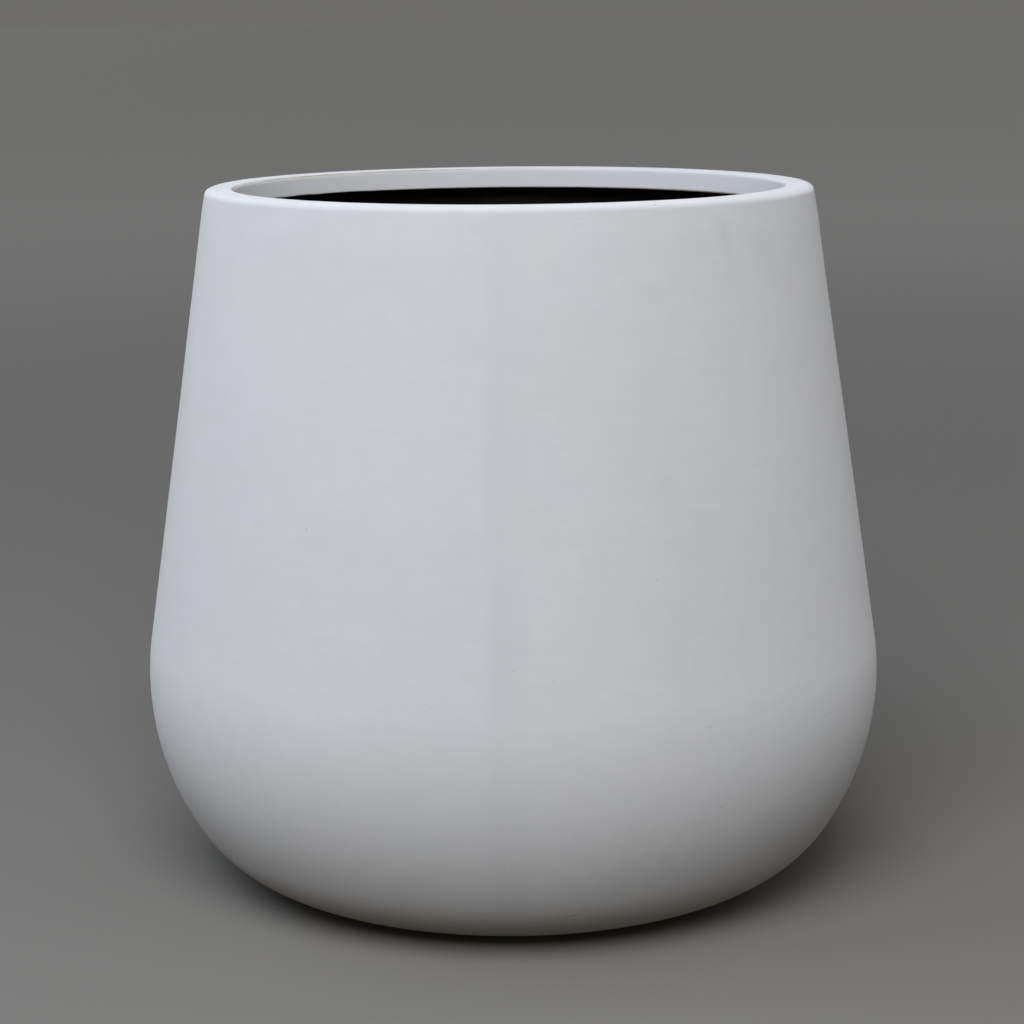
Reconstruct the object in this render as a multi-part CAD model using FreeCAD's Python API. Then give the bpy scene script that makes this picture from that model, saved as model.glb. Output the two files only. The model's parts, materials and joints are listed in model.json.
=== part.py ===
"""Large round floor planter in fibre-reinforced stone composite, in millimetres, +Z up.

Two moulded half shells meet on a vertical seam at the front (-Y) and the rear (+Y). A strip of
laminate bridges each seam inside, and a band of filler levels it outside. A separate ring hangs
under the turned-in rim as its inner lip, and a separate disc closes the foot. A dark seal coat
lines the inside, and a rubber bung stops the drain hole in the middle of the disc.
The origin is the middle of the foot, on the ground.
"""

import FreeCAD
import Part
import math
import os

# Outer form of the pot
pot_height = 800.0
rim_radius = 345.0  # corner of wall and top face, before that edge is rounded
belly_radius = 425.0  # widest point of the pot
belly_height = 239.0  # height of the widest point
base_radius = 246.0  # the curved wall runs out into the flat standing ring here
belly_arc_sweep = 33.0  # degrees from the widest point down to the tighter foot arc

# Half shells
shell_wall = 7.0
rim_width = 32.0  # top of the pot, from the outer corner to the mouth
rim_outer_round = 8.0
rim_inner_round = 4.5
standing_ring_width = 66.0

# Rim lip, an angle-section ring bonded under the turned-in rim
lip_depth = 26.0  # from the top of the pot to the lip's lower edge
lip_wall = 6.0
lip_flange_wall = 5.0
lip_flange_gap = 3.0  # from the edge of its flange to the coat over the joint strips
lip_corner_round = 3.0
lip_edge_round = 1.5

# Seams
filler_width = 26.0
filler_depth = 1.5
filler_foot_height = 6.0  # the filler stops this far above the ground
filler_top_gap = 1.0  # and this far under the rounded rim
strip_width = 80.0
strip_wall = 4.0

# Foot disc, bonded on the standing ring
disc_wall = 8.0
disc_margin = 6.0  # from the disc's edge to the start of the curved wall
drain_radius = 15.0
drain_boss_width = 15.0
drain_boss_drop = 3.0

# Seal coat
coat_wall = 1.0

# Drain bung
bung_clearance = 0.08
bung_head_overlap = 8.0
bung_head_edge = 2.5
bung_head_crown = 2.5
bung_shank_relief = 0.9
bung_taper = 0.8
bung_ground_gap = 2.0
bung_core_radius = 8.0
bung_core_depth = 9.0
bung_rib_height = 2.4
bung_rib_count = 2

# Lines and arcs of the wall's half section, worked out from the outer form
sweep = math.radians(belly_arc_sweep)
arc_difference = (belly_height - belly_radius + base_radius) / (math.sin(sweep) + math.cos(sweep) - 1)
belly_arc = belly_height + arc_difference * (1 - math.sin(sweep))
base_arc = belly_height - arc_difference * math.sin(sweep)
belly_centre = belly_radius - belly_arc
rim_reach = math.hypot(rim_radius - belly_centre, pot_height - belly_height)
rim_bearing = math.atan2(pot_height - belly_height, rim_radius - belly_centre)
taper = rim_bearing - math.acos(belly_arc / rim_reach)

# Levels and radii that several pieces share
rim_underside = pot_height - shell_wall
mouth_radius = rim_radius - rim_width
disc_radius = base_radius - disc_margin
disc_top = shell_wall + disc_wall
coat_inset = shell_wall + coat_wall
coat_floor = disc_top + coat_wall
strip_inset = shell_wall + strip_wall
raised_inset = strip_inset + coat_wall

# Bearings about the pot's axis in degrees, and directions in the half section in radians
AXIS = FreeCAD.Vector(0, 0, 1)
CENTRE = FreeCAD.Vector(0, 0, 0)
FRONT = -90.0
REAR = 90.0
HALF_TURN = 180.0
FULL_TURN = 360.0
UP = math.pi / 2
INWARD = math.pi
DOWN = 3 * math.pi / 2


def at(radius, height):
    return FreeCAD.Vector(radius, 0, height)


def on_arc(radius, height, arc, angle):
    """Point of an arc about (radius, height), with the angle above the outward direction."""
    return at(radius + arc * math.cos(angle), height + arc * math.sin(angle))


def line(start, end):
    return Part.LineSegment(start, end).toShape()


def arc_edge(radius, height, arc, first, last):
    """Arc edge about (radius, height) between two angles."""
    start, middle, end = (on_arc(radius, height, arc, angle) for angle in (first, (first + last) / 2, last))
    return Part.Arc(start, middle, end).toShape()


def polyline(points):
    return [line(start, end) for start, end in zip(points, points[1:])]


def section(edges):
    return Part.Face(Part.Wire(edges))


def spin(face, start=0.0, turn=FULL_TURN):
    """Solid of revolution of a half section, from one bearing about the axis."""
    turned = face.copy()
    turned.rotate(CENTRE, AXIS, start)
    return turned.revolve(CENTRE, AXIS, turn)


def wall_at(inset, height):
    """Point of the straight upper wall, inset from the outer skin."""
    return at(rim_radius + (pot_height - height) * math.tan(taper) - inset / math.cos(taper), height)


def foot_angle(inset, foot):
    """Angle on the foot arc, inset from the outer skin, at a height above the ground."""
    return -math.asin((base_arc - foot) / (base_arc - inset))


def wall_curve(inset, top, foot=None):
    """Edges of the wall from a top point down to the foot, inset from the outer skin."""
    last = -UP if foot is None else foot_angle(inset, foot)
    belly = belly_arc - inset
    return [
        line(top, on_arc(belly_centre, belly_height, belly, taper)),
        arc_edge(belly_centre, belly_height, belly, taper, -sweep),
        arc_edge(base_radius, base_arc, base_arc - inset, -sweep, last),
    ]


def lower_end(curve):
    return curve[-1].Vertexes[-1].Point


def wall_layer(outer_inset, inner_inset, top, foot=None):
    """Half section of a layer of the wall between two insets, up to a height."""
    outer = wall_curve(outer_inset, wall_at(outer_inset, top), foot)
    inner = wall_curve(inner_inset, wall_at(inner_inset, top), foot)
    foot_edge = line(lower_end(outer), lower_end(inner))
    top_edge = line(wall_at(inner_inset, top), wall_at(outer_inset, top))
    return section(outer + [foot_edge] + inner[::-1] + [top_edge])


def seam_band(layer, width, bearing):
    """The part of a wall layer that lies within a width across the front or rear seam."""
    near_side = FreeCAD.Vector(-width / 2, min(0, bearing / REAR) * belly_radius, 0)
    slab = Part.makeBox(width, belly_radius, pot_height, near_side)
    return spin(layer, bearing - REAR, HALF_TURN).common(slab)


def shell_section():
    """Wall, turned-in rim and standing ring of a half shell."""
    round_height = pot_height - rim_outer_round
    round_radius = wall_at(rim_outer_round, round_height).x
    inner_round_radius = mouth_radius + rim_inner_round
    inner_round_height = pot_height - rim_inner_round
    ring_radius = base_radius - standing_ring_width
    outer = wall_curve(0, on_arc(round_radius, round_height, rim_outer_round, taper))
    inner = wall_curve(shell_wall, wall_at(shell_wall, rim_underside))
    standing_ring = polyline(
        [at(base_radius, 0), at(ring_radius, 0), at(ring_radius, shell_wall), at(base_radius, shell_wall)]
    )
    rim = [
        line(wall_at(shell_wall, rim_underside), at(mouth_radius, rim_underside)),
        line(at(mouth_radius, rim_underside), at(mouth_radius, inner_round_height)),
        arc_edge(inner_round_radius, inner_round_height, rim_inner_round, INWARD, UP),
        line(at(inner_round_radius, pot_height), at(round_radius, pot_height)),
        arc_edge(round_radius, round_height, rim_outer_round, UP, taper),
    ]
    return section(outer + standing_ring + inner[::-1] + rim)


def half_shell(bearing, fillers):
    """Half of the shell, from one seam to the other, with a rebate for the filler along each seam."""
    return spin(shell_section(), bearing, HALF_TURN).cut(fillers)


def seam_filler(bearing):
    """Band of filler that levels a seam, flush with the outer skin."""
    top = pot_height - rim_outer_round - filler_top_gap
    return seam_band(wall_layer(0, filler_depth, top, filler_foot_height), filler_width, bearing)


def joint_strip(bearing):
    """Strip of laminate that bridges a seam on the inside."""
    return seam_band(wall_layer(shell_wall, strip_inset, rim_underside), strip_width, bearing)


def rim_lip():
    """Angle-section ring: its flange is bonded under the rim, and its wall is the mouth's inner face."""
    lower = pot_height - lip_depth
    flange_under = rim_underside - lip_flange_wall
    back = mouth_radius + lip_wall
    corner = back + lip_corner_round
    flange_tip = wall_at(raised_inset, rim_underside).x - lip_flange_gap
    edge_radius = mouth_radius + lip_edge_round
    edge_height = lower + lip_edge_round
    edges = [
        line(at(mouth_radius, rim_underside), at(mouth_radius, edge_height)),
        arc_edge(edge_radius, edge_height, lip_edge_round, INWARD, DOWN),
        line(at(edge_radius, lower), at(back, lower)),
        line(at(back, lower), at(back, flange_under - lip_corner_round)),
        arc_edge(corner, flange_under - lip_corner_round, lip_corner_round, INWARD, UP),
        line(at(corner, flange_under), at(flange_tip, flange_under)),
        line(at(flange_tip, flange_under), at(flange_tip, rim_underside)),
        line(at(flange_tip, rim_underside), at(mouth_radius, rim_underside)),
    ]
    return spin(section(edges))


def foot_disc():
    """Disc that closes the foot, thickened round the drain hole on its underside."""
    boss_radius = drain_radius + drain_boss_width
    boss_under = shell_wall - drain_boss_drop
    outline = [
        at(drain_radius, boss_under),
        at(boss_radius, boss_under),
        at(boss_radius, shell_wall),
        at(disc_radius, shell_wall),
        at(disc_radius, disc_top),
        at(drain_radius, disc_top),
        at(drain_radius, boss_under),
    ]
    return spin(section(polyline(outline)))


def seal_coat(strips):
    """Dark coat over the wall, the joint strips and the foot disc, down to the drain hole."""
    outer = wall_curve(shell_wall, wall_at(shell_wall, rim_underside))
    inner = wall_curve(coat_inset, wall_at(coat_inset, rim_underside), coat_floor)
    foot = [
        at(base_radius, shell_wall),
        at(disc_radius, shell_wall),
        at(disc_radius, disc_top),
        at(drain_radius, disc_top),
        at(drain_radius, coat_floor),
        lower_end(inner),
    ]
    top = line(wall_at(coat_inset, rim_underside), wall_at(shell_wall, rim_underside))
    coat = spin(section(outer + polyline(foot) + inner[::-1] + [top]))
    raised = wall_layer(shell_wall, raised_inset, rim_underside, coat_floor)
    raised_width = strip_width + 2 * coat_wall
    covers = [seam_band(raised, raised_width, bearing) for bearing in (FRONT, REAR)]
    return coat.fuse(covers).cut(strips).removeSplitter()


def drain_bung():
    """Rubber bung with a crowned head, sealing ribs on its shank and a hollow core from below."""
    head_radius = drain_radius + bung_head_overlap
    edge_top = coat_floor + bung_head_edge
    crown_arc = (head_radius**2 + bung_head_crown**2) / (2 * bung_head_crown)
    crown_centre = edge_top + bung_head_crown - crown_arc
    crown_edge = math.acos(head_radius / crown_arc)
    shank_radius = drain_radius - bung_shank_relief
    tip_radius = shank_radius - bung_taper
    core_top = bung_ground_gap + bung_core_depth
    outline = [
        at(0, edge_top + bung_head_crown),
        at(0, core_top),
        at(bung_core_radius, core_top),
        at(bung_core_radius, bung_ground_gap),
        at(tip_radius, bung_ground_gap),
        at(shank_radius, coat_floor),
        at(head_radius, coat_floor),
        at(head_radius, edge_top),
    ]
    body = spin(section(polyline(outline) + [arc_edge(0, crown_centre, crown_arc, crown_edge, UP)]))
    pitch = (coat_floor - bung_ground_gap) / (bung_rib_count + 1)
    ribs = []
    for number in range(1, bung_rib_count + 1):
        middle = coat_floor - number * pitch
        upper = middle + bung_rib_height / 2
        lower = middle - bung_rib_height / 2
        rib = [
            at(bung_core_radius, lower),
            at(tip_radius, lower),
            at(drain_radius - bung_clearance, middle),
            at(tip_radius, upper),
            at(bung_core_radius, upper),
            at(bung_core_radius, lower),
        ]
        ribs.append(spin(section(polyline(rib))))
    return body.fuse(ribs).removeSplitter()


fillers = [seam_filler(bearing) for bearing in (FRONT, REAR)]
strips = [joint_strip(bearing) for bearing in (FRONT, REAR)]
pieces = {
    "right_half_shell": half_shell(FRONT, fillers),
    "left_half_shell": half_shell(REAR, fillers),
    "front_seam_filler": fillers[0],
    "rear_seam_filler": fillers[1],
    "front_joint_strip": strips[0],
    "rear_joint_strip": strips[1],
    "rim_lip": rim_lip(),
    "foot_disc": foot_disc(),
    "seal_coat": seal_coat(strips),
    "drain_bung": drain_bung(),
}

os.makedirs("parts", exist_ok=True)
for name, shape in pieces.items():
    print(f"{name}: {len(shape.Solids)} solid, valid {shape.isValid()}, {shape.Volume / 1000:.1f} cm3")
    shape.Solids[0].exportStep(f"parts/{name}.step")
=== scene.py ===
import json
import math

import bpy
from mathutils import Matrix, Vector


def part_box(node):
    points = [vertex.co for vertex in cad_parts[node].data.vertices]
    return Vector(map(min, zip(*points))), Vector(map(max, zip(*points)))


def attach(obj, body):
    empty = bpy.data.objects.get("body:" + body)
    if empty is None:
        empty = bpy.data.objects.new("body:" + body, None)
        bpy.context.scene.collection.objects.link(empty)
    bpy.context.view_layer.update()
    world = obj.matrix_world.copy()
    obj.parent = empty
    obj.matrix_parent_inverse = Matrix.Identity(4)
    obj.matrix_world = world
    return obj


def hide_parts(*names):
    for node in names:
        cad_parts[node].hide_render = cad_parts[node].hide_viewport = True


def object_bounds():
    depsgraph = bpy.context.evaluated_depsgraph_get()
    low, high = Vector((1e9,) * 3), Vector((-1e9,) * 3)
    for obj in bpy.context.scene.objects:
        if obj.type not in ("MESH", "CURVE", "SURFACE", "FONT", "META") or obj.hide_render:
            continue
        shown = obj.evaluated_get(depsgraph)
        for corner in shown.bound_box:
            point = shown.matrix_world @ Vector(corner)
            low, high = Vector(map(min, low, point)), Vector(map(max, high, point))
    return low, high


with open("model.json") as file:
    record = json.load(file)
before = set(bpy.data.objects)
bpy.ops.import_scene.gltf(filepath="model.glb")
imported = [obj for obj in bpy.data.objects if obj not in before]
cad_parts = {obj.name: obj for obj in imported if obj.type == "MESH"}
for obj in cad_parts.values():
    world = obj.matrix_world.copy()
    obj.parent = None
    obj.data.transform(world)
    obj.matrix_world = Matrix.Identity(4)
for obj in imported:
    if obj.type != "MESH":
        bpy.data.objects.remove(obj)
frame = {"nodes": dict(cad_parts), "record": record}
cad_low, cad_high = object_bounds()

# Half shells
# Each half of the pot's wall is laid up by hand in a mould, from fibre mat and stone-filled resin,
# with its half of the turned-in rim and of the standing ring. The halves are glued edge to edge at
# the front and the rear, rebated for filler along both seams, then sanded and painted as one pot.
mouth_mount = next(mount for mount in frame["record"]["mounts"] if mount["name"] == "mouth")
mouth_radius = mouth_mount["dims"]["r_mm"] / 1000
pot_height = cad_high.z
belly_radius = cad_high.x
belly_height = 0.239
belly_sweep = math.radians(33)
base_radius = 0.246
rim_radius = 0.345
rim_outer_round = 0.008
rim_inner_round = 0.0045
shell_wall = 0.007
standing_ring_width = 0.066
filler_depth = 0.0015
filler_low, filler_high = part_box("front_seam_filler")
skin_outwards = 0.05
seam_reach = 1e-4
merge_reach = 1e-6
column_turn = math.radians(1)
crease = math.radians(30)
FRONT, REAR = -math.pi / 2, math.pi / 2
DOWN, UP = -math.pi / 2, math.pi / 2

arc_difference = (belly_height - belly_radius + base_radius) / (
    math.sin(belly_sweep) + math.cos(belly_sweep) - 1
)
belly_arc = belly_height + arc_difference * (1 - math.sin(belly_sweep))
foot_arc = belly_height - arc_difference * math.sin(belly_sweep)
belly_centre = (belly_radius - belly_arc, belly_height)
foot_centre = (base_radius, foot_arc)
rim_rise = pot_height - belly_height
rim_run = rim_radius - belly_centre[0]
wall_lean = math.atan2(rim_rise, rim_run) - math.acos(belly_arc / math.hypot(rim_run, rim_rise))


def straight(start, end, steps):
    """Points of a straight line in the pot's half section, as (radius, height)."""
    return [tuple(a + (b - a) * step / steps for a, b in zip(start, end)) for step in range(steps + 1)]


def arc(centre, size, first, last, steps):
    """Points of an arc in the half section, between two angles above the outward direction."""
    turns = [first + (last - first) * step / steps for step in range(steps + 1)]
    return [(centre[0] + size * math.cos(turn), centre[1] + size * math.sin(turn)) for turn in turns]


def wall_radius(inset, height):
    """Radius of the straight upper wall, inset from the painted skin."""
    return rim_radius + (pot_height - height) * math.tan(wall_lean) - inset / math.cos(wall_lean)


def foot_turn(inset, height):
    """Angle on the foot arc, inset from the painted skin, at a height above the ground."""
    return -math.asin((foot_arc - height) / (foot_arc - inset))


def wall_line(inset, first_turn, top):
    """The wall in the half section, inset from the painted skin, from the foot arc up to a height."""
    foot = arc(foot_centre, foot_arc - inset, first_turn, -belly_sweep, steps=20)
    belly = arc(belly_centre, belly_arc - inset, -belly_sweep, wall_lean, steps=20)
    wall = straight(belly[-1], (wall_radius(inset, top), top), steps=28)
    return foot + belly[1:] + wall[1:]


def draw_line(name, points, bearing):
    """A line in the half section at one bearing, extruded point by point from a plane merged to one."""
    bpy.ops.object.select_all(action="DESELECT")
    bpy.ops.mesh.primitive_plane_add(size=shell_wall)
    piece = bpy.context.object
    piece.name = piece.data.name = name
    bpy.ops.object.mode_set(mode="EDIT")
    bpy.ops.mesh.select_mode(type="VERT")
    bpy.ops.mesh.select_all(action="SELECT")
    bpy.ops.mesh.merge(type="CENTER")
    to_right = math.cos(bearing)
    to_rear = math.sin(bearing)
    spots = [Vector((radius * to_right, radius * to_rear, height)) for radius, height in points]
    bpy.ops.transform.translate(value=spots[0])
    for start, end in zip(spots, spots[1:]):
        bpy.ops.mesh.extrude_vertices_move(TRANSFORM_OT_translate={"value": end - start})
    bpy.ops.mesh.select_all(action="SELECT")
    bpy.ops.mesh.remove_doubles(threshold=merge_reach)
    bpy.ops.mesh.select_all(action="SELECT")
    return piece


def sweep_round(turn, step):
    """Spins the drawn line about the pot's axis. A negative turn goes from the front by the right."""
    bpy.ops.mesh.spin(steps=round(abs(turn) / step), angle=turn, center=(0, 0, 0), axis=(0, 0, 1))
    bpy.ops.mesh.select_all(action="SELECT")
    bpy.ops.mesh.remove_doubles(threshold=merge_reach)
    bpy.ops.mesh.select_all(action="SELECT")
    bpy.ops.mesh.normals_make_consistent(inside=False)
    bpy.ops.object.mode_set(mode="OBJECT")


def choose(piece, kind, wanted):
    """Leaves the piece in edit mode, with the vertices or faces selected that the test wants."""
    bpy.ops.object.mode_set(mode="EDIT")
    bpy.ops.mesh.select_mode(type=kind)
    bpy.ops.mesh.select_all(action="DESELECT")
    bpy.ops.object.mode_set(mode="OBJECT")
    for part in piece.data.vertices if kind == "VERT" else piece.data.polygons:
        part.select = wanted(part)
    bpy.ops.object.mode_set(mode="EDIT")


def cut_across(piece, x, **clear):
    """Cuts the mesh along an upright plane beside the seams, and clears one side of it if asked."""
    choose(piece, "FACE", lambda face: True)
    bpy.ops.mesh.bisect(plane_co=(x, 0, 0), plane_no=(1, 0, 0), threshold=merge_reach, **clear)
    bpy.ops.object.mode_set(mode="OBJECT")


def make_uneven(piece, name, grain, reach, weight, direction="NORMAL"):
    """Moves the surface by a cloudy share of the reach, as far as the weight of each vertex says."""
    moved = piece.vertex_groups.new(name=name)
    for vertex in piece.data.vertices:
        moved.add([vertex.index], weight(vertex), "REPLACE")
    clouds = bpy.data.textures.new(name, "CLOUDS")
    clouds.noise_scale = grain
    uneven = piece.modifiers.new(name, "DISPLACE")
    uneven.texture = clouds
    uneven.texture_coords = "LOCAL"
    uneven.direction = direction
    uneven.vertex_group = name
    uneven.mid_level = 0
    uneven.strength = reach
    bpy.ops.object.modifier_apply(modifier=name)


def between(value, first, last):
    """0 at the first limit, 1 at the last, and a straight rise between them."""
    return min(max((value - first) / (last - first), 0), 1)


def outwards(spot, normal):
    """How far a normal points away from the pot's axis."""
    return normal.dot(Vector((spot.x, spot.y, 0)).normalized())


wave_grain = 0.26
wave_depth = 0.0014
wave_foot = (0.005, 0.06)
wave_rim = (0.70, 0.79)
wave_rim_loss = 0.7
lump_grain = 0.05
lump_depth = 0.0012
lump_rise = (0.770, 0.790)
lump_outwards = 0.1


def wave_weight(vertex):
    """Waves run over the painted skin, die out at the foot and are slighter at the rim."""
    if outwards(vertex.co, vertex.normal) < 0:
        return 0
    rim_share = wave_rim_loss * between(vertex.co.z, *wave_rim)
    return between(vertex.co.z, *wave_foot) * (1 - rim_share)


def lump_weight(vertex):
    """Lumps lie on the rounded outer edge of the rim, and die out down the wall and over the flat top."""
    if outwards(vertex.co, vertex.normal) < lump_outwards:
        return 0
    return between(vertex.co.z, *lump_rise)


def lay_waves(piece):
    """Presses in the long waves of the sanded wall and the short lumps of the rim's edge."""
    make_uneven(piece, "hand_sanded_waves", wave_grain, -wave_depth, wave_weight)
    make_uneven(piece, "hand_sanded_rim", lump_grain, -lump_depth, lump_weight)


def in_rebate(face):
    """Faces of the painted skin beside a seam, which the filler covers."""
    beside = abs(face.center.x) < filler_high.x and filler_low.z < face.center.z < filler_high.z
    return beside and outwards(face.center, face.normal) > skin_outwards


ring_inner_radius = base_radius - standing_ring_width
skin_line = wall_line(0, foot_turn(0, filler_low.z), filler_high.z)
rim_underside = pot_height - shell_wall
rim_round_height = pot_height - rim_outer_round
rim_round_radius = wall_radius(rim_outer_round, rim_round_height)
rim_outer_centre = (rim_round_radius, rim_round_height)
rim_inner_centre = (mouth_radius + rim_inner_round, pot_height - rim_inner_round)
rim_flat_start = (rim_round_radius, pot_height)
rim_flat_end = (mouth_radius + rim_inner_round, pot_height)
shell_outline = [(ring_inner_radius, 0)]
shell_outline += arc(foot_centre, foot_arc, DOWN, foot_turn(0, filler_low.z), steps=5)
shell_outline += skin_line[1:]
shell_outline += arc(rim_outer_centre, rim_outer_round, wall_lean, UP, steps=7)
shell_outline += straight(rim_flat_start, rim_flat_end, steps=4)[1:-1]
shell_outline += arc(rim_inner_centre, rim_inner_round, UP, math.pi, steps=6)
shell_outline += [(mouth_radius, rim_underside)]
shell_outline += wall_line(shell_wall, DOWN, rim_underside)[::-1]
shell_outline += [(ring_inner_radius, shell_wall)]
shell_outline += shell_outline[:1]


def half_shell(node, side):
    """Half of the wall from the front seam to the rear one, rebated for filler along both."""
    shell = draw_line("painted_" + node, shell_outline, FRONT)
    sweep_round(-side * math.pi, column_turn)
    lay_waves(shell)
    cut_across(shell, side * filler_high.x)
    choose(shell, "FACE", in_rebate)
    bpy.ops.mesh.extrude_region_shrink_fatten(TRANSFORM_OT_shrink_fatten={"value": -filler_depth})
    bpy.ops.object.mode_set(mode="OBJECT")
    at_seam = [abs(vertex.co.x) < seam_reach for vertex in shell.data.vertices]
    choose(shell, "FACE", lambda face: all(at_seam[number] for number in face.vertices))
    bpy.ops.mesh.delete(type="FACE")
    bpy.ops.object.mode_set(mode="OBJECT")
    choose(shell, "VERT", lambda vertex: abs(vertex.co.x) < seam_reach)
    bpy.ops.transform.resize(value=(0, 1, 1), center_override=(0, 0, 0))
    bpy.ops.mesh.select_all(action="SELECT")
    bpy.ops.mesh.fill_holes(sides=0)
    bpy.ops.mesh.select_all(action="SELECT")
    bpy.ops.mesh.normals_make_consistent(inside=False)
    bpy.ops.object.mode_set(mode="OBJECT")
    bpy.ops.object.shade_smooth_by_angle(angle=crease)
    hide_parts(node)
    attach(shell, "pot")
    return shell


right_shell = half_shell("right_half_shell", 1)
left_shell = half_shell("left_half_shell", -1)


def add_node(finish, kind, inputs, **options):
    """Adds a shader node, sets its options, and sets or links its inputs."""
    node = finish.node_tree.nodes.new(kind)
    for option, value in options.items():
        setattr(node, option, value)
    for socket, value in inputs.items():
        if isinstance(value, bpy.types.NodeSocket):
            finish.node_tree.links.new(value, node.inputs[socket])
        else:
            node.inputs[socket].default_value = value
    return node


def new_finish(name, colour, **sockets):
    """A material of one Principled shader, with the sockets set that are the same all over."""
    finish = bpy.data.materials.new(name)
    finish.use_nodes = True
    shader = finish.node_tree.nodes["Principled BSDF"]
    shader.inputs["Base Color"].default_value = (*colour, 1)
    for socket, value in sockets.items():
        shader.inputs[socket.replace("_", " ")].default_value = value
    return finish


def place(finish):
    """Coordinates on the piece, in metres from the centre of the foot."""
    return add_node(finish, "ShaderNodeTexCoord", {}).outputs["Object"]


def split(finish, vector):
    """The three numbers of a vector: to the right, to the rear and up."""
    return add_node(finish, "ShaderNodeSeparateXYZ", {0: vector}).outputs


def calc(finish, operation, *values):
    """One sum on numbers or patterns."""
    return add_node(finish, "ShaderNodeMath", dict(enumerate(values)), operation=operation).outputs[0]


def stretched(finish, vector, factors):
    """A vector with each of its numbers times a factor of its own."""
    return add_node(finish, "ShaderNodeVectorMath", {0: vector, 1: factors}, operation="MULTIPLY").outputs[0]


def distance(finish, vector):
    """The length of a vector."""
    return add_node(finish, "ShaderNodeVectorMath", {0: vector}, operation="LENGTH").outputs["Value"]


def fade(finish, value, first, last):
    """0 at the first limit, 1 at the last, with a soft rise between them."""
    inputs = {0: value, 1: first, 2: last}
    return add_node(finish, "ShaderNodeMapRange", inputs, interpolation_type="SMOOTHSTEP").outputs[0]


def noise(finish, where, scale, detail=2.0):
    """A cloudy pattern, mostly between 0.3 and 0.7."""
    inputs = {"Vector": where, "Scale": scale, "Detail": detail}
    return add_node(finish, "ShaderNodeTexNoise", inputs).outputs[0]


def levels(finish, pattern, first, last):
    """Spreads the usual range of a cloudy pattern over two levels."""
    inputs = {0: pattern, 1: 0.3, 2: 0.7, 3: first, 4: last}
    return add_node(finish, "ShaderNodeMapRange", inputs).outputs[0]


def round_pot(finish, along, up):
    """Coordinates that run round the pot and up it, stretched by a scale for each."""
    across = stretched(finish, place(finish), (1, 1, 0))
    round_it = add_node(finish, "ShaderNodeVectorMath", {0: across}, operation="NORMALIZE").outputs[0]
    rising = stretched(finish, place(finish), (0, 0, up))
    inputs = {0: round_it, 1: (along, along, along), 2: rising}
    return add_node(finish, "ShaderNodeVectorMath", inputs, operation="MULTIPLY_ADD").outputs[0]


def fed(finish, socket):
    """What a socket of the finish's shader gets so far."""
    shader_input = finish.node_tree.nodes["Principled BSDF"].inputs[socket]
    return shader_input.links[0].from_socket if shader_input.links else shader_input.default_value[:]


def feed(finish, socket, value):
    """Links a value to a socket of the finish's shader."""
    finish.node_tree.links.new(value, finish.node_tree.nodes["Principled BSDF"].inputs[socket])


def blend(finish, share, first, last):
    """The first of two colours where the share is 0, and the last where it is 1."""
    return add_node(finish, "ShaderNodeMix", {0: share, 6: first, 7: last}, data_type="RGBA").outputs[2]


def lay_over(finish, mask, colour, strength=1.0):
    """Lays another colour over what the finish has so far, as far as the mask and the strength say."""
    share = calc(finish, "MULTIPLY", mask, strength)
    feed(finish, "Base Color", blend(finish, share, fed(finish, "Base Color"), (*colour, 1)))


def vary(finish, pattern, darkest, lightest):
    """Scales the colour that the finish has so far, between two levels, as a cloudy pattern says."""
    inputs = {0: 1.0, 6: fed(finish, "Base Color"), 7: levels(finish, pattern, darkest, lightest)}
    mixed = add_node(finish, "ShaderNodeMix", inputs, data_type="RGBA", blend_type="MULTIPLY")
    feed(finish, "Base Color", mixed.outputs[2])


def emboss(finish, pattern, height):
    """Adds relief to what the finish has so far; the pattern runs from 0 to 1."""
    inputs = {"Height": pattern, "Distance": height, "Strength": 1.0}
    normal = finish.node_tree.nodes["Principled BSDF"].inputs["Normal"]
    if normal.links:
        inputs["Normal"] = normal.links[0].from_socket
    feed(finish, "Normal", add_node(finish, "ShaderNodeBump", inputs).outputs[0])


def marks(finish, spots, soft):
    """Mask of oval marks, laid out on the wall as if it were rolled out flat from the front seam."""
    rolled_radius = 0.4
    x, y, z = split(finish, place(finish))
    turned = calc(finish, "ARCTAN2", x, calc(finish, "MULTIPLY", y, -1.0))
    to_right = calc(finish, "MULTIPLY", turned, rolled_radius)
    wall = add_node(finish, "ShaderNodeCombineXYZ", {0: to_right, 1: z}).outputs[0]
    mask = 0.0
    for bearing, height, length, width, tilt, strength in spots:
        inputs = {
            "Vector": wall,
            "Location": (math.radians(bearing) * rolled_radius, height, 0),
            "Rotation": (0, 0, math.radians(tilt)),
            "Scale": (length / 2, width / 2, 1),
        }
        spot = add_node(finish, "ShaderNodeMapping", inputs, vector_type="TEXTURE").outputs[0]
        limits = {0: distance(finish, spot), 1: 1.0, 2: 1.0 - soft, 4: strength}
        level = add_node(finish, "ShaderNodeMapRange", limits, interpolation_type="SMOOTHSTEP").outputs[0]
        mask = calc(finish, "MAXIMUM", mask, level)
    return mask


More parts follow.
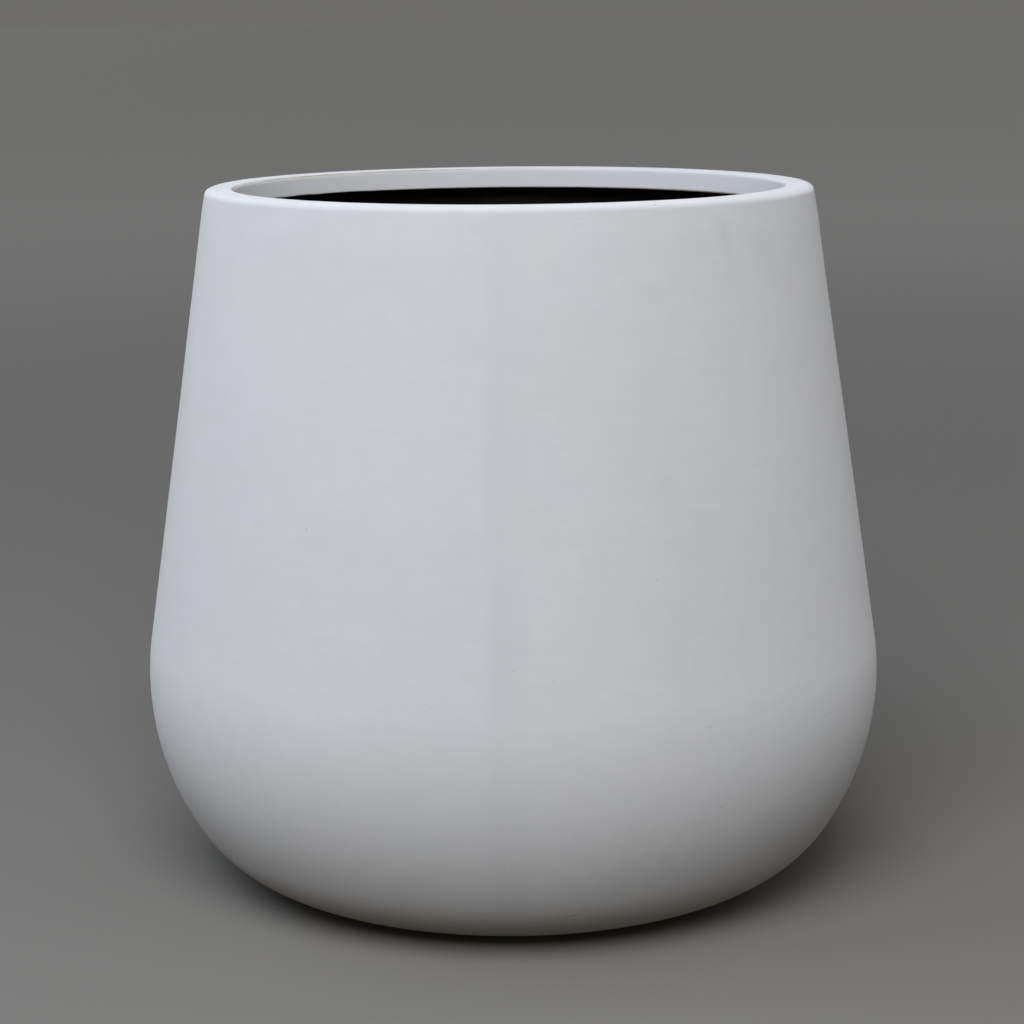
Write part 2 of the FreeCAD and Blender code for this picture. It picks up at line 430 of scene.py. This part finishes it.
# Each mark has a bearing to the right of the front seam in degrees, a height, a length and a width in
# metres, a tilt in degrees and a strength.
grey_smudges = [
    (41.0, 0.760, 0.040, 0.070, 0.0, 0.15),
    (35.5, 0.757, 0.080, 0.045, 10.0, 0.05),
    (50.0, 0.749, 0.070, 0.080, 0.0, 0.05),
    (25.3, 0.706, 0.060, 0.040, 0.0, 0.05),
    (24.9, 0.511, 0.070, 0.065, 0.0, 0.05),
    (-4.0, 0.778, 0.035, 0.025, 0.0, 0.06),
    (-5.8, 0.662, 0.080, 0.070, 0.0, 0.04),
    (2.8, 0.192, 0.060, 0.020, 8.0, 0.05),
]
dark_specks = [
    (-31.4, 0.467, 0.0022, 0.0020, 0.0, 0.4),
    (1.5, 0.335, 0.0018, 0.0018, 0.0, 0.4),
    (7.0, 0.323, 0.0018, 0.0016, 0.0, 0.4),
    (23.1, 0.419, 0.0018, 0.0018, 0.0, 0.4),
    (-11.1, 0.292, 0.0015, 0.0015, 0.0, 0.4),
    (42.4, 0.193, 0.0022, 0.0020, 0.0, 0.4),
]
grey_scratches = [
    (54.8, 0.2430, 0.032, 0.0013, -5.0, 0.40),
    (48.3, 0.2425, 0.022, 0.0013, 2.0, 0.15),
    (33.0, 0.172, 0.016, 0.0026, 12.0, 0.25),
    (11.3, 0.053, 0.018, 0.0024, 16.0, 0.65),
    (28.3, 0.051, 0.018, 0.0018, 4.0, 0.45),
    (1.6, 0.127, 0.014, 0.0014, 20.0, 0.18),
    (30.0, 0.262, 0.008, 0.0060, 30.0, 0.15),
    (12.8, 0.781, 0.012, 0.0030, 10.0, 0.15),
    (27.2, 0.798, 0.006, 0.0030, 0.0, 0.30),
]
paint_colour = (0.735, 0.742, 0.770)
tinge_colour = (0.722, 0.742, 0.752)
seam_colour = (0.709, 0.7185, 0.744)
smudge_colour = (0.42, 0.40, 0.36)
speck_colour = (0.16, 0.15, 0.13)
scratch_colour = (0.30, 0.29, 0.27)
worn_colour = (0.46, 0.41, 0.30)

# Each fade below runs from where its mask is 0 to where it is full, in metres: to the right of the seam
# for the band, its core and the worn left, away from a line for the two sides, and up for the tops.
seam_wander = 0.006
band_left = (-0.027, -0.004)
band_right = (0.030, 0.017)
band_strength = 0.62
core_right = (0.009, -0.001)
core_strength = 0.40
band_top = (0.797, 0.785)
ridge_offset = 0.002
ridge_side = (0.0026, 0.0008)
ridge_top = (0.36, 0.29)
worn_radius = mouth_radius + 0.0011
worn_side = (0.0008, 0.0003)
worn_left = (0.06, -0.10)


def seam_shade(finish):
    """Mask of the greyer band along a seam: a long soft left edge, a darker core, a shorter right edge."""
    x, _, z = split(finish, place(finish))
    sway = noise(finish, place(finish), scale=14.0)
    x = calc(finish, "ADD", x, calc(finish, "MULTIPLY_ADD", sway, 2 * seam_wander, -seam_wander))
    left_edge = fade(finish, x, *band_left)
    band = calc(finish, "MULTIPLY", left_edge, fade(finish, x, *band_right))
    core = calc(finish, "MULTIPLY", left_edge, fade(finish, x, *core_right))
    shade = calc(finish, "MULTIPLY_ADD", core, core_strength, calc(finish, "MULTIPLY", band, band_strength))
    patchy = calc(finish, "MULTIPLY_ADD", noise(finish, place(finish), scale=9.0, detail=3.0), 2.6, -0.3)
    return calc(finish, "MULTIPLY", calc(finish, "MULTIPLY", shade, patchy), fade(finish, z, *band_top))


def seam_ridge(finish):
    """Mask of the thin pale line that the sanding left beside a seam, on the lower part of the pot."""
    x, _, z = split(finish, place(finish))
    aside = calc(finish, "ABSOLUTE", calc(finish, "SUBTRACT", x, ridge_offset))
    return calc(finish, "MULTIPLY", fade(finish, aside, *ridge_side), fade(finish, z, *ridge_top))


def worn_mouth(finish):
    """Mask of the inner edge of the rim, where the paint has rubbed through on the left."""
    x = split(finish, place(finish))[0]
    radius = distance(finish, stretched(finish, place(finish), (1, 1, 0)))
    edge = fade(finish, calc(finish, "ABSOLUTE", calc(finish, "SUBTRACT", radius, worn_radius)), *worn_side)
    patchy = fade(finish, noise(finish, place(finish), scale=12.0, detail=5.0), 0.30, 0.52)
    return calc(finish, "MULTIPLY", calc(finish, "MULTIPLY", edge, patchy), fade(finish, x, *worn_left))


def matt_paint(name):
    """Matt mineral paint, sanded by hand: clouded, tinged in patches, and streaked along the sanding."""
    finish = new_finish(name, paint_colour, Specular_IOR_Level=0.25, Diffuse_Roughness=0.6)
    clouds = noise(finish, place(finish), scale=4.0, detail=3.0)
    streaks = noise(finish, round_pot(finish, along=5.0, up=110.0), scale=1.0, detail=3.0)
    mottle = noise(finish, place(finish), scale=45.0, detail=4.0)
    grain = noise(finish, place(finish), scale=450.0)
    tinged = fade(finish, noise(finish, place(finish), scale=11.0, detail=4.0), 0.42, 0.68)
    lay_over(finish, tinged, tinge_colour, strength=0.5)
    vary(finish, clouds, darkest=0.985, lightest=1.012)
    vary(finish, streaks, darkest=0.991, lightest=1.008)
    vary(finish, mottle, darkest=0.988, lightest=1.010)
    vary(finish, grain, darkest=0.986, lightest=1.010)
    emboss(finish, clouds, height=0.0004)
    emboss(finish, streaks, height=0.00006)
    emboss(finish, grain, height=0.00005)
    feed(finish, "Roughness", levels(finish, streaks, 0.58, 0.72))
    return finish


def handled_paint(name):
    """The paint on the outside, with the seams showing through it and the marks of handling on it."""
    finish = matt_paint(name)
    lay_over(finish, seam_shade(finish), seam_colour)
    lay_over(finish, seam_ridge(finish), paint_colour, strength=0.5)
    lay_over(finish, marks(finish, grey_smudges, soft=1.0), smudge_colour)
    lay_over(finish, marks(finish, dark_specks, soft=0.5), speck_colour)
    lay_over(finish, marks(finish, grey_scratches, soft=0.7), scratch_colour)
    return finish


painted_wall = handled_paint("matt_off_white_paint")
lay_over(painted_wall, worn_mouth(painted_wall), worn_colour, strength=0.8)
for shell in (right_shell, left_shell):
    shell.data.materials.append(painted_wall)

# Seam fillers
# A band of polyester filler levels each seam from the foot to the rim. It is spread into the rebate,
# sanded flush by hand and painted over, and stays a little greyer and flatter than the wall.
filler_turn = math.radians(4)
filler_step = math.radians(0.4)
hollow_grain = 0.035
hollow_depth = 0.0003
hollow_edge = 0.6 * filler_high.x


def hollow_weight(vertex):
    """Hollows lie along the middle of the band and die out towards its edges."""
    return between(filler_high.x - abs(vertex.co.x), 0, hollow_edge)


def seam_filler(node, bearing):
    """Band of filler in the rebate of one seam, flush with the painted skin."""
    band = draw_line("painted_" + node, skin_line, bearing + filler_turn)
    sweep_round(2 * filler_turn, filler_step)
    if outwards(band.data.polygons[0].center, band.data.polygons[0].normal) < 0:
        choose(band, "FACE", lambda face: True)
        bpy.ops.mesh.flip_normals()
        bpy.ops.object.mode_set(mode="OBJECT")
    lay_waves(band)
    cut_across(band, filler_high.x, clear_outer=True)
    cut_across(band, filler_low.x, clear_inner=True)
    make_uneven(band, "filler_hollows", hollow_grain, -hollow_depth, hollow_weight)
    body = band.modifiers.new("filler_body", "SOLIDIFY")
    body.thickness = filler_depth
    body.offset = -1
    bpy.ops.object.modifier_apply(modifier=body.name)
    bpy.ops.object.shade_smooth_by_angle(angle=crease)
    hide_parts(node)
    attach(band, "pot")
    return band


painted_filler = handled_paint("matt_paint_on_filler")
filler_patches = noise(painted_filler, place(painted_filler), scale=30.0)
vary(painted_filler, filler_patches, darkest=0.996, lightest=1.002)
for node, bearing in (("front_seam_filler", FRONT), ("rear_seam_filler", REAR)):
    seam_filler(node, bearing).data.materials.append(painted_filler)

# Joint strips and foot disc
# Strips of the same laminate bridge the seams inside, and a disc of it, with the drain hole in its
# middle, is bonded on the standing ring. They are left bare: rough grey resin on chopped fibres.
laminate_colour = (0.36, 0.35, 0.33)
fibre_colour = (0.52, 0.50, 0.45)
fibre_turns = (0.3, 1.2, 2.4)
fibre_lean = 0.4
fibre_scale = (60, 900, 900)


def bare_laminate():
    """Fibre mat wetted out with stone-filled resin, rough from the roller."""
    finish = new_finish("bare_fibre_laminate", laminate_colour, Specular_IOR_Level=0.4)
    for turn in fibre_turns:
        inputs = {"Vector": place(finish), "Rotation": (fibre_lean, turn, turn), "Scale": fibre_scale}
        fibre_place = add_node(finish, "ShaderNodeMapping", inputs).outputs[0]
        fibres = fade(finish, noise(finish, fibre_place, scale=1.0, detail=1.0), 0.62, 0.70)
        lay_over(finish, fibres, fibre_colour, strength=0.35)
        emboss(finish, fibres, height=0.0001)
    resin = noise(finish, place(finish), scale=25.0, detail=4.0)
    vary(finish, resin, darkest=0.85, lightest=1.10)
    emboss(finish, resin, height=0.0006)
    feed(finish, "Roughness", levels(finish, resin, 0.45, 0.75))
    return finish


laminate = bare_laminate()
for node in ("front_joint_strip", "rear_joint_strip", "foot_disc"):
    frame["nodes"][node].data.materials[0] = laminate

# Rim lip
# An angle-section ring, moulded in the same composite and bonded under the turned-in rim, is the
# white band inside the mouth. It is painted with the wall, and its lower edge was trimmed by hand,
# more on the left.
lip_low, lip_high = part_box("rim_lip")
lip_wall = 0.006
lip_flange_wall = 0.005
lip_corner_round = 0.003
lip_edge_round = 0.0015
lip_step = math.radians(1.5)
trim_grain = 0.06
trim_reach = 0.008
trim_depth = 0.0032
raw_edge_end = 0.0030
raw_edge_full = 0.0016
raw_edge_colour = (0.26, 0.22, 0.16)
FULL_TURN = 2 * math.pi

lip_back = mouth_radius + lip_wall
lip_shelf = lip_high.z - lip_flange_wall
lip_corner = (lip_back + lip_corner_round, lip_shelf - lip_corner_round)
lip_edge = (mouth_radius + lip_edge_round, lip_low.z + lip_edge_round)
lip_outline = straight((mouth_radius, lip_high.z), (mouth_radius, lip_edge[1]), steps=5)[:-1]
lip_outline += arc(lip_edge, lip_edge_round, math.pi, 3 * math.pi / 2, steps=4)
lip_outline += [(lip_back, lip_low.z)]
lip_outline += arc(lip_corner, lip_corner_round, math.pi, UP, steps=4)
lip_outline += [(lip_high.x, lip_shelf), (lip_high.x, lip_high.z), (mouth_radius, lip_high.z)]


def trim_weight(vertex):
    """The trim reaches a little way up from the lower edge, and dies out towards the right."""
    near_edge = 1 - between(vertex.co.z, lip_low.z, lip_low.z + trim_reach)
    return near_edge * between(vertex.co.x, mouth_radius, -mouth_radius)


painted_lip = matt_paint("matt_paint_on_lip")
lip_height = split(painted_lip, place(painted_lip))[2]
raw_edge = fade(painted_lip, lip_height, lip_low.z + raw_edge_end, lip_low.z + raw_edge_full)
lay_over(painted_lip, raw_edge, raw_edge_colour, strength=0.8)

lip = draw_line("painted_rim_lip", lip_outline, FRONT)
sweep_round(FULL_TURN, lip_step)
make_uneven(lip, "hand_trim", trim_grain, trim_depth, trim_weight, direction="Z")
bpy.ops.object.shade_smooth_by_angle(angle=crease)
lip.data.materials.append(painted_lip)
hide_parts("rim_lip")
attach(lip, "pot")

# Seal coat
# A black waterproof coat is brushed over the whole inside: the wall, the joint strips under it, which
# stand out as two low bands, and the foot disc down to the drain hole.
coat_wall = 0.001
coat_step = math.radians(1.5)
coat_crease = math.radians(40)
coat_colour = (0.010, 0.010, 0.010)
strip_wall = 0.004
strip_feather = 0.012
strip_half_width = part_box("front_joint_strip")[1].x
disc_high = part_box("foot_disc")[1]
disc_radius = disc_high.x
drain_radius = 0.015

coat_inset = shell_wall + coat_wall
coat_floor = disc_high.z + coat_wall
coat_line = wall_line(coat_inset, foot_turn(coat_inset, coat_floor), rim_underside)
coat_foot_radius = coat_line[0][0]
coat_outline = [(drain_radius, disc_high.z), (disc_radius, disc_high.z), (disc_radius, shell_wall)]
coat_outline += wall_line(shell_wall, DOWN, rim_underside)
coat_outline += coat_line[::-1]
coat_outline += straight(coat_line[0], (drain_radius, coat_floor), steps=14)[1:]
coat_outline += coat_outline[:1]

coat = draw_line("brushed_seal_coat", coat_outline, FRONT)
sweep_round(FULL_TURN, coat_step)
for side in (-1, 1):
    cut_across(coat, side * (strip_half_width + coat_wall))
    cut_across(coat, side * (strip_half_width + strip_feather))


def over_strip(vertex, facing):
    """1 where the coat passes over a joint strip, on the faces that look one way."""
    if facing * outwards(vertex.co, vertex.normal) < 0:
        return 0
    beside = between(abs(vertex.co.x), strip_half_width + strip_feather, strip_half_width + coat_wall)
    radius = math.hypot(vertex.co.x, vertex.co.y)
    return beside * between(radius, coat_foot_radius - strip_wall, coat_foot_radius)


for facing in (-1, 1):
    raised = coat.vertex_groups.new(name="over_strips_%d" % facing)
    for vertex in coat.data.vertices:
        raised.add([vertex.index], over_strip(vertex, facing), "REPLACE")
    rise = coat.modifiers.new(raised.name, "DISPLACE")
    rise.vertex_group = raised.name
    rise.mid_level = 0
    rise.strength = -facing * strip_wall
for rise in list(coat.modifiers):
    bpy.ops.object.modifier_apply(modifier=rise.name)
bpy.ops.object.shade_smooth_by_angle(angle=coat_crease)


def brushed_sealer():
    """Black sealer with the marks of a broad brush, drawn round the pot."""
    finish = new_finish("brushed_black_sealer", coat_colour, Specular_IOR_Level=0.25)
    strokes = noise(finish, round_pot(finish, along=3.0, up=160.0), scale=1.0, detail=3.0)
    pools = noise(finish, place(finish), scale=14.0, detail=3.0)
    vary(finish, strokes, darkest=0.75, lightest=1.35)
    emboss(finish, pools, height=0.0010)
    emboss(finish, strokes, height=0.0004)
    feed(finish, "Roughness", levels(finish, strokes, 0.50, 0.72))
    return finish


coat.data.materials.append(brushed_sealer())
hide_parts("seal_coat")
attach(coat, "pot")

# Drain bung
# A bung moulded in black rubber stops the drain hole: a crowned head on the coat, and a tapered hollow
# shank with two sealing ribs. It is pushed in and pulled out by hand.
bung_low, bung_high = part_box("drain_bung")
head_radius = bung_high.x
head_edge = 0.0025
head_round = 0.0008
crown_gap = 0.02
shank_clearance = 0.0009
shank_taper = 0.0008
tip_chamfer = 0.0006
core_radius = 0.008
core_depth = 0.009
core_chamfer = 0.001
rib_count = 2
rib_height = 0.0024
crest_height = 0.0006
crest_clearance = 0.00028
bung_step = math.radians(3.75)
bung_crease = math.radians(35)
rubber_colour = (0.03, 0.03, 0.03)
dust_colour = (0.16, 0.15, 0.14)

shank_radius = drain_radius - shank_clearance
tip_radius = shank_radius - shank_taper
crest_radius = drain_radius - crest_clearance
rib_pitch = (coat_floor - bung_low.z) / (rib_count + 1)
core_top = bung_low.z + core_depth
crown = bung_high.z - coat_floor - head_edge
crown_arc = (head_radius**2 + crown**2) / (2 * crown)
crown_edge = math.acos(head_radius / crown_arc)
crown_centre = (0, bung_high.z - crown_arc)
head_side = head_radius - head_round
head_low = (head_side, coat_floor + head_round)
head_high = (head_side, coat_floor + head_edge - head_round)
bung_outline = [(0, core_top), (core_radius - core_chamfer, core_top), (core_radius, core_top - core_chamfer)]
bung_outline += [(core_radius, bung_low.z), (tip_radius - tip_chamfer, bung_low.z)]
bung_outline += [(tip_radius, bung_low.z + tip_chamfer)]
for number in range(rib_count, 0, -1):
    middle = coat_floor - number * rib_pitch
    bung_outline += [(tip_radius, middle - rib_height / 2), (crest_radius, middle - crest_height / 2)]
    bung_outline += [(crest_radius, middle + crest_height / 2), (tip_radius, middle + rib_height / 2)]
bung_outline += [(shank_radius, coat_floor), (head_side, coat_floor)]
bung_outline += arc(head_low, head_round, DOWN, 0, steps=3)[1:]
bung_outline += arc(head_high, head_round, 0, crown_edge, steps=3)
bung_outline += arc(crown_centre, crown_arc, crown_edge + crown_gap, UP, steps=8)

bung = draw_line("ribbed_drain_bung", bung_outline, FRONT)
sweep_round(FULL_TURN, bung_step)
bpy.ops.object.shade_smooth_by_angle(angle=bung_crease)


def moulded_rubber():
    """Black rubber, dull from the mould, with a little pale dust."""
    finish = new_finish("moulded_black_rubber", rubber_colour, Specular_IOR_Level=0.4)
    skin = noise(finish, place(finish), scale=900.0)
    dust = fade(finish, noise(finish, place(finish), scale=120.0, detail=4.0), 0.50, 0.75)
    lay_over(finish, dust, dust_colour, strength=0.25)
    emboss(finish, skin, height=0.00003)
    dullness = add_node(finish, "ShaderNodeMapRange", {0: dust, 3: 0.55, 4: 0.85})
    feed(finish, "Roughness", dullness.outputs[0])
    return finish


bung.data.materials.append(moulded_rubber())
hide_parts("drain_bung")
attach(bung, "bung")

# Floor
# A plain pale grey floor, without any pattern. It is paler far off, where less of the lamps' light falls,
# and sends less and warmer light back up than the camera sees on it, as a dark floor under the pot does.
floor_size = 400
floor_near = (0.240, 0.230, 0.216, 1)
floor_far = (0.875, 0.850, 0.820, 1)
floor_bounce = (0.040, 0.026, 0.010, 1)
floor_reach = 11.0


def seen_ray(finish):
    """1 for what the camera sees, directly or in a gloss, and 0 for the light that surfaces send on."""
    ray = add_node(finish, "ShaderNodeLightPath", {}).outputs
    shiny = calc(finish, "MAXIMUM", ray["Is Glossy Ray"], ray["Is Transmission Ray"])
    return calc(finish, "MAXIMUM", ray["Is Camera Ray"], shiny)


bpy.ops.object.select_all(action="DESELECT")
bpy.ops.mesh.primitive_plane_add(size=floor_size)
floor = bpy.context.object
floor.name = floor.data.name = "floor"
pale_floor = new_finish("plain_pale_floor", floor_near[:3], Roughness=0.9, Specular_IOR_Level=0.1)
away = distance(pale_floor, place(pale_floor))
floor_tone = blend(pale_floor, fade(pale_floor, away, 0.0, floor_reach), floor_near, floor_far)
feed(pale_floor, "Base Color", blend(pale_floor, seen_ray(pale_floor), floor_bounce, floor_tone))
floor.data.materials.append(pale_floor)

# Light
# Soft light from all round that fades towards the ceiling, a broad soft lamp high in front, a weaker and
# cooler one on the left, and even light from behind on both sides, which keeps the far side readable.
room_horizon = (0.290, 0.280, 0.260, 1)
room_overhead = (0.010, 0.020, 0.035, 1)
room_seen = (0.1550, 0.1525, 0.1490, 1)
key_colour = (0.978, 0.985, 1.0)
side_colour = (0.62, 0.78, 1.0)
lamp_reach = 4.5
lamp_size = 3.0
lamp_aim = Vector((0, 0, pot_height / 2))
rear_elevation = 10
rear_strength = 0.5
rear_spread = math.radians(40)

world = bpy.data.worlds.new("soft_room")
bpy.context.scene.world = world
world.use_nodes = True
towards = add_node(world, "ShaderNodeTexCoord", {}).outputs["Generated"]
room_light = blend(world, split(world, towards)[2], room_horizon, room_overhead)
room_view = blend(world, seen_ray(world), room_light, room_seen)
world.node_tree.links.new(room_view, world.node_tree.nodes["Background"].inputs["Color"])


def soft_lamp(name, kind, bearing, elevation, **settings):
    """A broad lamp turned towards the pot, by its bearing to the right of the front, in degrees."""
    swing = Matrix.Rotation(math.radians(bearing), 3, "Z")
    turn = swing @ Matrix.Rotation(math.radians(90 - elevation), 3, "X")
    bpy.ops.object.light_add(type=kind, location=lamp_aim + turn @ Vector((0, 0, lamp_reach)))
    lamp = bpy.context.object
    lamp.name = lamp.data.name = name
    lamp.rotation_euler = turn.to_euler()
    lamp.visible_camera = False
    for setting, value in settings.items():
        setattr(lamp.data, setting, value)


soft_lamp("front_key", "AREA", bearing=-5.5, elevation=46.5, energy=177, size=lamp_size, color=key_colour)
soft_lamp("left_side", "AREA", bearing=-78, elevation=46, energy=37, size=lamp_size, color=side_colour)
for name, bearing in (("rear_left", -140), ("rear_right", 132)):
    soft_lamp(name, "SUN", bearing, rear_elevation, energy=rear_strength, angle=rear_spread)

# Camera
# It stands about 3 m in front of the pot and 1 m above the floor, a little to the right of the front
# seam, and looks down at the pot through a long lens.
camera_reach = 2.977
camera_height = 0.995
camera_bearing = math.radians(1.4)
camera_pitch = math.radians(10.94)
camera_roll = math.radians(-0.51)
camera_lens = 91.41

bpy.ops.object.camera_add()
camera = bpy.context.object
camera.data.lens = camera_lens
camera.matrix_world = (
    Matrix.Rotation(camera_bearing, 4, "Z")
    @ Matrix.Translation((0, -camera_reach, camera_height))
    @ Matrix.Rotation(math.pi / 2 - camera_pitch, 4, "X")
    @ Matrix.Rotation(camera_roll, 4, "Z")
)
bpy.context.scene.camera = camera
bpy.context.scene.view_settings.view_transform = "Standard"
